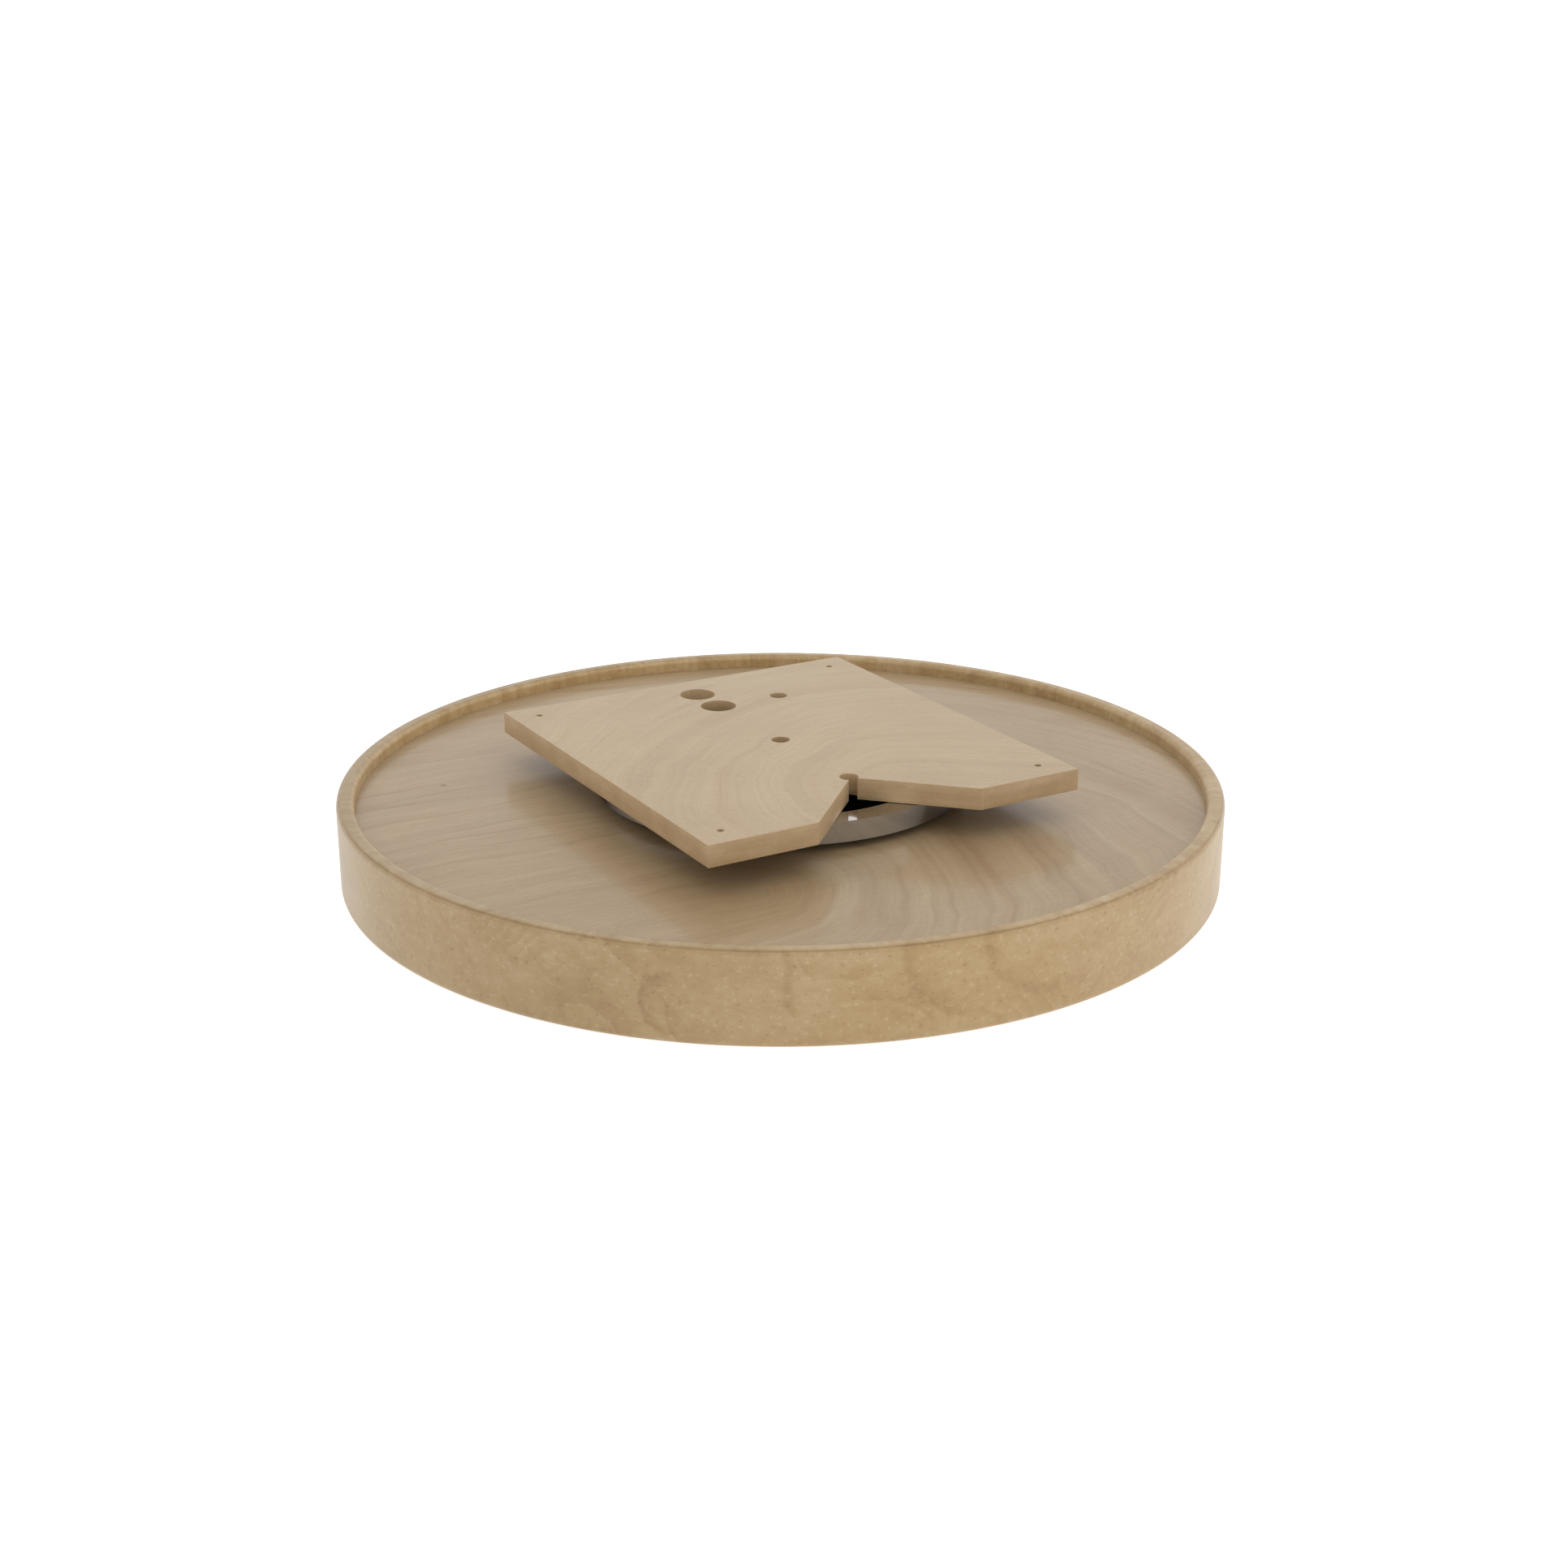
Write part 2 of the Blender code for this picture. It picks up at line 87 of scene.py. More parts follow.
# Fineness of round shapes
TRAY_STEPS = 360
BEARING_STEPS = 288
HOLE_STEPS = 64
FILLET_STEPS = 8
GROOVE_STEPS = 8
SCREW_STEPS = 32
THREAD_ROWS_PER_TURN = 10
BALL_STEPS = 32
SMOOTH_ANGLE = math.radians(30.0)
LEVEL_NORMAL = 0.999

# Camera
CAMERA_AZIMUTH = math.radians(-30.35)
CAMERA_ELEVATION = math.radians(19.62)
CAMERA_DISTANCE = 1.564
CAMERA_TARGET = Vector((2.0 * MM, -1.2 * MM, 53.9 * MM))
CAMERA_LENS = 51.78
CAMERA_SENSOR = 36.0
CAMERA_REACH = 100.0

# Studio light: an even pale sky, a little brighter towards one side, over a glowing pale floor
SKY_STRENGTH = 1.05
SKY_CONTRAST = 0.12
BRIGHT_SIDE = Vector((0.95, 0.25, 0.2)).normalized()
FLOOR_HALF_SIZE = 20.0
FLOOR_COLOUR = (0.55, 0.55, 0.55, 1.0)
FLOOR_ROUGHNESS = 0.9
FLOOR_GLOW = 0.75

# Wood colours, each from dark through middle to light
RIM_TONES = ((0.25, 0.145, 0.055), (0.40, 0.27, 0.125), (0.54, 0.41, 0.24))
PANEL_TONES = ((0.228, 0.141, 0.067), (0.342, 0.240, 0.132), (0.462, 0.348, 0.215))
PLATE_TONES = ((0.283, 0.179, 0.086), (0.409, 0.292, 0.160), (0.545, 0.424, 0.268))
PLATE_EDGE_TONES = ((0.30, 0.19, 0.085), (0.44, 0.305, 0.165), (0.58, 0.44, 0.27))

# Faint pink that tints parts of the boards
BLUSH = (1.0, 0.93, 0.89, 1.0)

# Wood and its lacquer alike
WOOD_IOR = 1.5

# Metal and plastic. The ring's walls are painted darker than its level faces, as painted shade for
# the darker surroundings that they reflect, and its level faces paler, as a painted highlight; its
# grazing reflections are painted darker still, as painted shade for the shaded panel they show
RING_WALL_PAINTED_SHADE_TONES = ((0.42, 0.415, 0.405), (0.46, 0.455, 0.445))
RING_LEVEL_PAINTED_HIGHLIGHT = (0.82, 0.80, 0.77, 1.0)
RING_GRAZING_PAINTED_SHADE = (0.30, 0.28, 0.25, 1.0)
RACE_COLOUR = (0.50, 0.50, 0.50)
BALL_COLOUR = (0.62, 0.62, 0.63)
SCREW_COLOUR = (0.56, 0.56, 0.55)
DISC_COLOUR = (0.0008, 0.0008, 0.0006)
CAGE_COLOUR = (0.68, 0.67, 0.62)
PLASTIC_IOR = 1.46

# Usual length of a wood fibre along the grain
FIBRE_LENGTH = 14.0 * MM

# Pin knot in the panel
KNOT_PLACE = (-200.5 * MM, 121.5 * MM)
KNOT_SIZE = (2.7 * MM, 2.3 * MM)

# Turn about Z at which the hoop's UV map starts
HOOP_SEAM = CAMERA_AZIMUTH + math.radians(75.0)

# Looped figures on the hoop: centre along and up the band, size along and up, how steeply the tone
# falls from the edge inwards, and the softness of the edge itself
HOOP_FIGURES = (
    ((970.0 * MM, 42.0 * MM), (24.0 * MM, 21.0 * MM), 3.0, 0.12),
    ((1040.0 * MM, 55.0 * MM), (9.0 * MM, 24.0 * MM), 0.6, 0.60),
    ((1141.0 * MM, 71.0 * MM), (40.0 * MM, 48.0 * MM), 5.0, 0.12),
    ((1196.0 * MM, 71.0 * MM), (46.0 * MM, 38.0 * MM), 4.0, 0.12),
)

# Heights past the outer wall, along the hoop's outline: the dark joint line and the width of its
# edge, where the cross grain of the top edge starts, and where the inner wall takes over
JOINT_WALK = 3.9 * MM
JOINT_REACH = (1.1 * MM, 0.3 * MM)
CROWN_WALK = (4.0 * MM, 5.0 * MM)
INNER_WALK = (11.0 * MM, 15.0 * MM)

# Painted light and shade on the hoop: the direction across the hoop in which it changes, and for
# the outer and the inner wall the span in metres and the factors at the span's two ends. The outer
# wall is painted darker away from the bright side, and the inner wall is painted lighter, most on
# the part that faces the bright side
PAINTED_LIGHT_HEADING = Vector((0.863, -0.505, 0.0))
OUTSIDE_SPAN = (-0.18, 0.15)
OUTSIDE_PAINTED_SHADE = (0.80, 0.95)
INSIDE_SPAN = (-0.15, 0.15)
INSIDE_PAINTED_LIGHT = (1.24, 1.06)


# --- meshes ---------------------------------------------------------------------------------

def add_piece(name, bm, material):
    """Object from a bmesh: outward faces, smooth round walls, flat level faces, crisp corners."""
    bmesh.ops.recalc_face_normals(bm, faces=bm.faces)
    mesh = bpy.data.meshes.new(name)
    bm.to_mesh(mesh)
    bm.free()
    mesh.shade_smooth()
    mesh.set_sharp_from_angle(angle=SMOOTH_ANGLE)
    for face in mesh.polygons:
        face.use_smooth = abs(face.normal.z) < LEVEL_NORMAL
    mesh.materials.append(material)
    piece = bpy.data.objects.new(name, mesh)
    bpy.context.scene.collection.objects.link(piece)
    return piece


def arc(centre_r, centre_z, radius, start, end, steps):
    """Points (radius, height) on a circular arc, from start to end in degrees."""
    points = []
    for step in range(steps + 1):
        angle = math.radians(start + (end - start) * step / steps)
        points.append((centre_r + radius * math.cos(angle), centre_z + radius * math.sin(angle)))
    return points


def rounded(corners):
    """Closed outline from (radius, height, fillet) corners, with each fillet as an arc."""
    outline = []
    for index, (r, z, fillet) in enumerate(corners):
        if fillet == 0:
            outline.append((r, z))
            continue
        here = Vector((r, z))
        before = (Vector(corners[index - 1][:2]) - here).normalized()
        after = (Vector(corners[(index + 1) % len(corners)][:2]) - here).normalized()
        half = before.angle(after) / 2
        centre = here + (before + after).normalized() * fillet / math.sin(half)
        start = here + before * fillet / math.tan(half) - centre
        end = here + after * fillet / math.tan(half) - centre
        first = math.degrees(math.atan2(start.y, start.x))
        turn = math.degrees(math.atan2(end.y, end.x)) - first
        turn = (turn + 180.0) % 360.0 - 180.0
        outline += arc(centre.x, centre.y, fillet, first, first + turn, FILLET_STEPS)
    return outline


def circle(x, y, radius, steps=HOLE_STEPS):
    turns = [2 * math.pi * index / steps for index in range(steps)]
    return [(x + radius * math.cos(turn), y + radius * math.sin(turn)) for turn in turns]


def lathe(name, outline, steps, material, seam=0.0):
    """Solid turned about Z, with a UV map in metres.

    u runs round the circle of the first point, and v along the outline.
    """
    bm = bmesh.new()
    layer = bm.loops.layers.uv.new("UVMap")
    rings = []
    for step in range(steps):
        angle = seam + 2 * math.pi * step / steps
        rings.append([bm.verts.new((r * math.cos(angle), r * math.sin(angle), z)) for r, z in outline])
    walk = [0.0]
    for index in range(len(outline)):
        here = Vector(outline[index])
        there = Vector(outline[(index + 1) % len(outline)])
        walk.append(walk[-1] + (there - here).length)
    pitch = 2 * math.pi * outline[0][0] / steps
    for step in range(steps):
        here = rings[step]
        there = rings[(step + 1) % steps]
        for i in range(len(outline)):
            j = (i + 1) % len(outline)
            face = bm.faces.new((here[i], there[i], there[j], here[j]))
            places = ((step, i), (step + 1, i), (step + 1, i + 1), (step, i + 1))
            for loop, (along, up) in zip(face.loops, places):
                loop[layer].uv = (along * pitch, walk[up])
    return add_piece(name, bm, material)


def stack(name, outlines, material):
    """Closed skin over level outlines of equally many (x, y) points, given as (points, height)."""
    bm = bmesh.new()
    rings = [[bm.verts.new((x, y, z)) for x, y in points] for points, z in outlines]
    for below, above in zip(rings, rings[1:]):
        for i in range(len(below)):
            bm.faces.new((below[i - 1], below[i], above[i], above[i - 1]))
    bm.faces.new(rings[0])
    bm.faces.new(rings[-1])
    return add_piece(name, bm, material)


def flat_piece(name, outline, holes, low, high, rounding, face_material, edge_material):
    """Flat plate with through holes and finely rounded edges, its edges in their own material."""
    curve = bpy.data.curves.new(name, "CURVE")
    curve.dimensions = "2D"
    curve.fill_mode = "BOTH"
    curve.extrude = (high - low) / 2 - rounding
    curve.bevel_depth = rounding
    curve.bevel_resolution = 2
    curve.offset = -rounding
    for points in [outline] + [list(reversed(hole)) for hole in holes]:
        spline = curve.splines.new("POLY")
        spline.points.add(len(points) - 1)
        for point, (x, y) in zip(spline.points, points):
            point.co = (x, y, 0.0, 1.0)
        spline.use_cyclic_u = True
    shape = bpy.data.objects.new(name + "_outline", curve)
    bpy.context.scene.collection.objects.link(shape)
    bpy.context.view_layer.update()
    seen = shape.evaluated_get(bpy.context.evaluated_depsgraph_get())
    bm = bmesh.new()
    bm.from_mesh(seen.to_mesh())
    seen.to_mesh_clear()
    bpy.data.objects.remove(shape)
    bpy.data.curves.remove(curve)
    bmesh.ops.remove_doubles(bm, verts=bm.verts, dist=rounding / 20)
    bmesh.ops.translate(bm, verts=bm.verts, vec=(0, 0, (low + high) / 2))
    piece = add_piece(name, bm, face_material)
    piece.data.materials.append(edge_material)
    for face in piece.data.polygons:
        face.material_index = int(abs(face.normal.z) < LEVEL_NORMAL)
    return piece


# --- shader nodes ---------------------------------------------------------------------------

class Shader:
    """One material's node tree, with short calls for the nodes that the finishes need."""

    def __init__(self, name):
        self.material = bpy.data.materials.new(name)
        self.material.use_nodes = True
        self.tree = self.material.node_tree
        self.surface = self.tree.nodes["Principled BSDF"]
        self.coordinates = self.tree.nodes.new("ShaderNodeTexCoord")

    def put(self, socket, value):
        if isinstance(value, bpy.types.NodeSocket):
            self.tree.links.new(value, socket)
        else:
            socket.default_value = value

    def set(self, **values):
        """Values or links for the surface shader, with spaces in socket names as underscores."""
        for name, value in values.items():
            self.put(self.surface.inputs[name.replace("_", " ")], value)

    def math(self, operation, first, second=0.0, third=0.0):
        node = self.tree.nodes.new("ShaderNodeMath")
        node.operation = operation
        for socket, value in zip(node.inputs, (first, second, third)):
            self.put(socket, value)
        return node.outputs[0]

    def vector_math(self, operation, *values):
        node = self.tree.nodes.new("ShaderNodeVectorMath")
        node.operation = operation
        for socket, value in zip(node.inputs, values):
            self.put(socket, value)
        return node

    def split(self, vector):
        node = self.tree.nodes.new("ShaderNodeSeparateXYZ")
        self.put(node.inputs[0], vector)
        return node.outputs

    def place(self, vector, centre, heading):
        """Coordinates measured from a centre, with X along a heading in degrees."""
        node = self.tree.nodes.new("ShaderNodeMapping")
        node.vector_type = "TEXTURE"
        self.put(node.inputs["Vector"], vector)
        node.inputs["Location"].default_value = centre
        node.inputs["Rotation"].default_value = (0, 0, math.radians(heading))
        return node.outputs[0]

    def oval(self, vector, centre, size):
        """Coordinates scaled to an oval's half sizes about its centre, and the distance in them."""
        node = self.tree.nodes.new("ShaderNodeMapping")
        node.vector_type = "TEXTURE"
        self.put(node.inputs["Vector"], vector)
        node.inputs["Location"].default_value = (*centre, 0.0)
        node.inputs["Scale"].default_value = (*size, 1.0)
        return node.outputs[0], self.vector_math("LENGTH", node.outputs[0]).outputs["Value"]

    def noise(self, vector, per_metre, detail=2.0, roughness=0.5):
        """Noise with its own number of features per metre along each axis; (factor, colour)."""
        scaled = self.tree.nodes.new("ShaderNodeMapping")
        self.put(scaled.inputs["Vector"], vector)
        scaled.inputs["Scale"].default_value = per_metre
        node = self.tree.nodes.new("ShaderNodeTexNoise")
        self.put(node.inputs["Vector"], scaled.outputs[0])
        node.inputs["Scale"].default_value = 1.0
        node.inputs["Detail"].default_value = detail
        node.inputs["Roughness"].default_value = roughness
        return node.outputs["Fac"], node.outputs["Color"]

    def warp(self, vector, offset, reach):
        """Coordinates moved on each axis by a noise colour, by reach where the noise is 1."""
        return self.vector_math("MULTIPLY_ADD", offset, reach, vector).outputs[0]

    def between(self, value, low, high, to_low=0.0, to_high=1.0):
        """Value smoothly mapped from low..high onto to_low..to_high."""
        node = self.tree.nodes.new("ShaderNodeMapRange")
        node.interpolation_type = "SMOOTHSTEP"
        for name, entry in (("Value", value), ("From Min", low), ("From Max", high),
                            ("To Min", to_low), ("To Max", to_high)):
            self.put(node.inputs[name], entry)
        return node.outputs[0]

    def weigh(self, start, *parts):
        """start plus each (value, middle, weight) as weight * (value - middle)."""
        total = start
        for value, middle, weight in parts:
            shifted = self.math("SUBTRACT", value, middle)
            total = self.math("MULTIPLY_ADD", shifted, weight, total)
        return total

    def ramp(self, value, *stops):
        """Colour from a value, by (position, colour) stops."""
        node = self.tree.nodes.new("ShaderNodeValToRGB")
        self.put(node.inputs["Fac"], value)
        elements = node.color_ramp.elements
        while len(elements) < len(stops):
            elements.new(0.5)
        for element, (position, colour) in zip(elements, stops):
            element.position = position
            element.color = (*colour, 1.0)
        return node.outputs["Color"]

    def mix(self, factor, first, second, blend="MIX"):
        node = self.tree.nodes.new("ShaderNodeMix")
        node.data_type = "RGBA"
        node.blend_type = blend
        self.put(node.inputs["Factor"], factor)
        self.put(node.inputs[6], first)
        self.put(node.inputs[7], second)
        return node.outputs[2]

    def wood_colour(self, tone, tones):
        dark, middle, light = tones
        return self.ramp(tone, (0.0, dark), (0.5, middle), (1.0, light))

    def bump(self, height, distance, strength):
        node = self.tree.nodes.new("ShaderNodeBump")
        self.put(node.inputs["Height"], height)
        node.inputs["Distance"].default_value = distance
        node.inputs["Strength"].default_value = strength
        self.tree.links.new(node.outputs[0], self.surface.inputs["Normal"])


def tinted(colour, factor):
    return tuple(channel * factor for channel in colour)


# --- wood -----------------------------------------------------------------------------------

def fibres(shader, along):
    """Fine wood fibres and short pores along X of the given coordinates."""
    fibre, _ = shader.noise(along, (1 / FIBRE_LENGTH, 900.0, 900.0), detail=3.0, roughness=0.6)
    dash, _ = shader.noise(along, (230.0, 1900.0, 1900.0), detail=1.0)
    pore = shader.between(dash, 0.62, 0.72)
    return fibre, pore


def grain_space(shader, along, flare, wander):
    """Coordinates in metres that follow the growth rings: X along the grain, Y across the rings.

    The rings run along X behind the centre and close in arches ahead of it.
    """
    _, drift = shader.noise(along, (3.5, 6.0, 6.0), detail=3.0, roughness=0.5)
    moved = shader.warp(along, drift, (wander, wander, 0.0))
    parts = shader.split(moved)
    ahead = shader.math("MULTIPLY", shader.math("MAXIMUM", parts[0], 0.0), flare)
    across = shader.math("MULTIPLY", parts[1], parts[1])
    away = shader.math("SQRT", shader.math("MULTIPLY_ADD", ahead, ahead, across))
    joined = shader.tree.nodes.new("ShaderNodeCombineXYZ")
    shader.put(joined.inputs[0], parts[0])
    shader.put(joined.inputs[1], away)
    return joined.outputs[0]


def board_wood(name, tones, centre, heading, flare, ring_rate, wander, ring_weight, band_weight,
               line_weight, roughness, gloss, coat, coat_roughness, knot=None):
    """Flat sawn maple face: uneven bands, thin ring lines, streaks that follow the grain, and pores.

    The grain runs along the heading in degrees, and ring_rate is the number of bands per metre.
    """
    shader = Shader(name)
    along = shader.place(shader.coordinates.outputs["Object"], centre, heading)
    grain = grain_space(shader, along, flare, wander)
    band, _ = shader.noise(grain, (2.5, ring_rate, 1.0), detail=2.0)
    line, _ = shader.noise(grain, (5.0, 5.0 * ring_rate, 1.0), detail=2.0, roughness=0.6)
    hair, _ = shader.noise(grain, (25.0, 16.0 * ring_rate, 1.0), detail=2.0, roughness=0.6)
    ring, _ = shader.noise(grain, (1.6, 1.3 * ring_rate, 1.0), detail=1.0)
    offset = shader.math("ABSOLUTE", shader.math("SUBTRACT", ring, 0.52))
    edge = shader.between(offset, 0.045, 0.0)
    fade, _ = shader.noise(along, (6.0, 13.0, 13.0), detail=2.0)
    edge = shader.math("MULTIPLY", edge, shader.between(fade, 0.40, 0.62))
    cloud, _ = shader.noise(along, (9.0, 14.0, 14.0), detail=3.0, roughness=0.55)
    fibre, pore = fibres(shader, along)
    tone = shader.weigh(
        0.5, (edge, 0.1, -ring_weight), (band, 0.5, band_weight), (line, 0.5, line_weight),
        (hair, 0.5, 0.35), (cloud, 0.5, 0.35), (fibre, 0.5, 0.45), (pore, 0.0, -0.25))
    if knot:
        _, reach = shader.oval(shader.coordinates.outputs["Object"], knot, KNOT_SIZE)
        tone = shader.weigh(tone, (shader.between(reach, 1.0, 0.4), 0.0, -0.8))
    blush, _ = shader.noise(grain, (5.0, 1.5 * ring_rate, 1.0), detail=2.0)
    blush = shader.between(blush, 0.50, 0.75, 0.0, 0.5)
    shader.set(
        Base_Color=shader.mix(blush, shader.wood_colour(tone, tones), BLUSH, "MULTIPLY"),
        Roughness=shader.weigh(roughness, (fibre, 0.5, 0.15), (pore, 0.0, 0.1)),
        IOR=WOOD_IOR, Specular_IOR_Level=gloss,
        Coat_Weight=coat, Coat_Roughness=coat_roughness, Coat_IOR=WOOD_IOR)
    shader.bump(shader.weigh(0.5, (fibre, 0.5, 0.5), (pore, 0.0, -0.6)), 0.02 * MM, 0.6)
    return shader.material


def edge_wood(name, tones, roughness):
    """Cut edges of the plate: browner, with soft blotches drawn out along the edge."""
    shader = Shader(name)
    where = shader.coordinates.outputs["Object"]
    blotch, _ = shader.noise(where, (45.0, 45.0, 90.0), detail=4.0, roughness=0.6)
    layer, _ = shader.noise(where, (8.0, 8.0, 420.0), detail=2.0)
    grit, _ = shader.noise(where, (500.0, 500.0, 900.0), detail=2.0)
    tone = shader.weigh(0.5, (blotch, 0.5, 0.7), (layer, 0.5, 0.35), (grit, 0.5, 0.35))
    shader.set(Base_Color=shader.wood_colour(tone, tones), Roughness=roughness, IOR=WOOD_IOR)
    shader.bump(grit, 0.03 * MM, 0.5)
    return shader.material


def loop_figure(shader, where, centre, size, sharpness, softness):
    """Oval figure: darkest just inside its edge at the lower u, fading towards the higher u."""
    placed, reach = shader.oval(where, centre, size)
    inside = shader.between(reach, 1.0, 1.0 - softness)
    near = shader.between(shader.split(placed)[0], 0.55, -0.45)
    fall = shader.math("POWER", reach, sharpness)
    return shader.math("MULTIPLY", shader.math("MULTIPLY", inside, near), fall)


def hoop_loops(shader, where):
    """Growth ring figures of the hoop: scattered loops, the placed figures, and fine ripples."""
    _, drift = shader.noise(where, (14.0, 18.0, 1.0), detail=2.0)
    _, nibble = shader.noise(where, (120.0, 120.0, 1.0), detail=3.0, roughness=0.6)
    moved = shader.warp(where, drift, (50.0 * MM, 40.0 * MM, 0.0))
    moved = shader.warp(moved, nibble, (7.0 * MM, 7.0 * MM, 0.0))
    hills, _ = shader.noise(moved, (9.0, 8.0, 1.0), detail=0.0)
    fade, _ = shader.noise(where, (9.0, 16.0, 1.0), detail=1.0)
    phase = shader.math("FRACT", shader.math("MULTIPLY", hills, 4.0))
    loop = shader.math("POWER", phase, 3.0)
    loop = shader.math("MULTIPLY", loop, shader.between(fade, 0.45, 0.62))
    ripple = shader.math("FRACT", shader.math("MULTIPLY", hills, 22.0))
    ripple = shader.math("MULTIPLY", ripple, shader.between(fade, 0.46, 0.38))
    bent = shader.warp(where, drift, (26.0 * MM, 22.0 * MM, 0.0))
    bent = shader.warp(bent, nibble, (6.0 * MM, 6.0 * MM, 0.0))
    placed = 0.0
    for figure in HOOP_FIGURES:
        placed = shader.math("ADD", loop_figure(shader, bent, *figure), placed)
    return loop, placed, ripple


def hoop_edge(shader, where, walk, cloud):
    """Cross grain blocks on the hoop's top edge, and the dark joint line below them."""
    crown = shader.between(walk, *CROWN_WALK)
    block, _ = shader.noise(where, (75.0, 2.0, 1.0), detail=3.0, roughness=0.7)
    block = shader.math("MULTIPLY", crown, shader.math("SUBTRACT", block, 0.5))
    joint = shader.math("ABSOLUTE", shader.math("SUBTRACT", walk, JOINT_WALK))
    joint = shader.between(joint, *JOINT_REACH)
    joint = shader.math("MULTIPLY", joint, shader.between(cloud, 0.25, 0.50))
    return block, joint


def hoop_painted_light(shader, walk):
    """Painted light and shade for the hoop's colour: a factor across the outer and the inner wall."""
    where = shader.coordinates.outputs["Object"]
    side = shader.vector_math("DOT_PRODUCT", where, PAINTED_LIGHT_HEADING).outputs["Value"]
    outside = shader.between(side, *OUTSIDE_SPAN, *OUTSIDE_PAINTED_SHADE)
    inside = shader.between(side, *INSIDE_SPAN, *INSIDE_PAINTED_LIGHT)
    inner = shader.between(walk, *INNER_WALK)
    step = shader.math("SUBTRACT", inside, outside)
    return shader.math("MULTIPLY_ADD", inner, step, outside)


def hoop_wood(name, tones, edge_walk):
    """Bent rim band: cloudy maple with a few looped figures, flecks, and cross grain on its top edge.

    edge_walk is the UV height in metres at which the outer wall turns into the top edge.
    """
    shader = Shader(name)
    where = shader.coordinates.outputs["UV"]
    walk = shader.math("SUBTRACT", shader.split(where)[1], edge_walk)
    loop, placed, ripple = hoop_loops(shader, where)
    cloud, _ = shader.noise(where, (12.0, 20.0, 1.0), detail=4.0, roughness=0.6)
    mottle, _ = shader.noise(where, (90.0, 120.0, 1.0), detail=4.0, roughness=0.65)
    speck, _ = shader.noise(where, (260.0, 290.0, 1.0), detail=1.0)
    pale = shader.between(speck, 0.60, 0.72)
    deep = shader.between(speck, 0.36, 0.27)
    fibre, pore = fibres(shader, where)
    block, joint = hoop_edge(shader, where, walk, cloud)
    tone = shader.weigh(
        0.5, (loop, 0.08, -0.18), (placed, 0.1, -0.33), (ripple, 0.2, -0.14),
        (cloud, 0.5, 0.55), (mottle, 0.5, 0.52), (pale, 0.0, 0.18), (deep, 0.0, -0.20),
        (fibre, 0.5, 0.08), (pore, 0.0, -0.04), (block, 0.0, 0.9), (joint, 0.0, -0.30))
    # Wood colour times the painted light and shade across the hoop
    painted_light_colour = shader.vector_math("MULTIPLY", shader.wood_colour(tone, tones), hoop_painted_light(shader, walk))
    shader.set(Base_Color=painted_light_colour.outputs[0], Roughness=shader.weigh(0.35, (mottle, 0.5, 0.2)),
               IOR=WOOD_IOR, Specular_IOR_Level=0.4)
    shader.bump(shader.weigh(0.5, (mottle, 0.5, 0.4), (fibre, 0.5, 0.3)), 0.03 * MM, 0.5)
    return shader.material


# --- metal and plastic ----------------------------------------------------------------------

def chrome(name):
    """Bright plated ring: clean, faint haze and turning marks, paler level faces as painted highlight.
    """
    shader = Shader(name)
    where = shader.coordinates.outputs["Object"]
    haze, _ = shader.noise(where, (35.0, 35.0, 60.0), detail=4.0, roughness=0.6)
    scuff, _ = shader.noise(where, (300.0, 300.0, 2600.0), detail=2.0)
    # The walls' darker tones are painted shade for the darker surroundings they reflect
    wall = shader.ramp(haze, (0.3, RING_WALL_PAINTED_SHADE_TONES[0]), (0.7, RING_WALL_PAINTED_SHADE_TONES[1]))
    # Level faces painted paler: a painted highlight
    level = shader.between(shader.split(shader.coordinates.outputs["Normal"])[2], 0.5, 0.9)
    colour = shader.mix(level, wall, RING_LEVEL_PAINTED_HIGHLIGHT)
    # The darker grazing tint is painted shade in the grazing reflections
    shader.set(Base_Color=colour, Metallic=1.0, Specular_Tint=RING_GRAZING_PAINTED_SHADE,
               Roughness=shader.weigh(0.07, (haze, 0.5, 0.06), (scuff, 0.5, 0.03)))
    return shader.material


def plated_steel(name, colour, roughness):
    """Zinc plated or polished steel with a faint crystalline haze."""
    shader = Shader(name)
    where = shader.coordinates.outputs["Object"]
    haze, _ = shader.noise(where, (180.0, 180.0, 180.0), detail=4.0, roughness=0.6)
    grain, _ = shader.noise(where, (1500.0, 1500.0, 1500.0), detail=2.0)
    tint = shader.ramp(haze, (0.3, tinted(colour, 0.88)), (0.7, tinted(colour, 1.08)))
    shader.set(Base_Color=tint, Metallic=1.0,
               Roughness=shader.weigh(roughness, (haze, 0.5, 0.15), (grain, 0.5, 0.08)))
    shader.bump(grain, 0.004 * MM, 0.3)
    return shader.material


def moulded_plastic(name, colour, roughness, gloss):
    """Fine grained plastic."""
    shader = Shader(name)
    where = shader.coordinates.outputs["Object"]
    cloud, _ = shader.noise(where, (60.0, 60.0, 60.0), detail=3.0)
    grain, _ = shader.noise(where, (2200.0, 2200.0, 2200.0), detail=1.0)
    tint = shader.ramp(cloud, (0.3, tinted(colour, 0.9)), (0.7, tinted(colour, 1.1)))
    shader.set(Base_Color=tint, Roughness=shader.weigh(roughness, (grain, 0.5, 0.15)),
               IOR=PLASTIC_IOR, Specular_IOR_Level=gloss)
    shader.bump(grain, 0.02 * MM, 0.3)
    return shader.material


# --- pieces ---------------------------------------------------------------------------------

def settle(piece, body, slot, *nodes):
    """Puts a piece on its body, in place of the frame's plain nodes."""
    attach(piece, body)
    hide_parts(*nodes)


def ball_plane():
    """Height of the balls' centres."""
    low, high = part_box("ball_cage")
    return low.z / 2 + high.z / 2


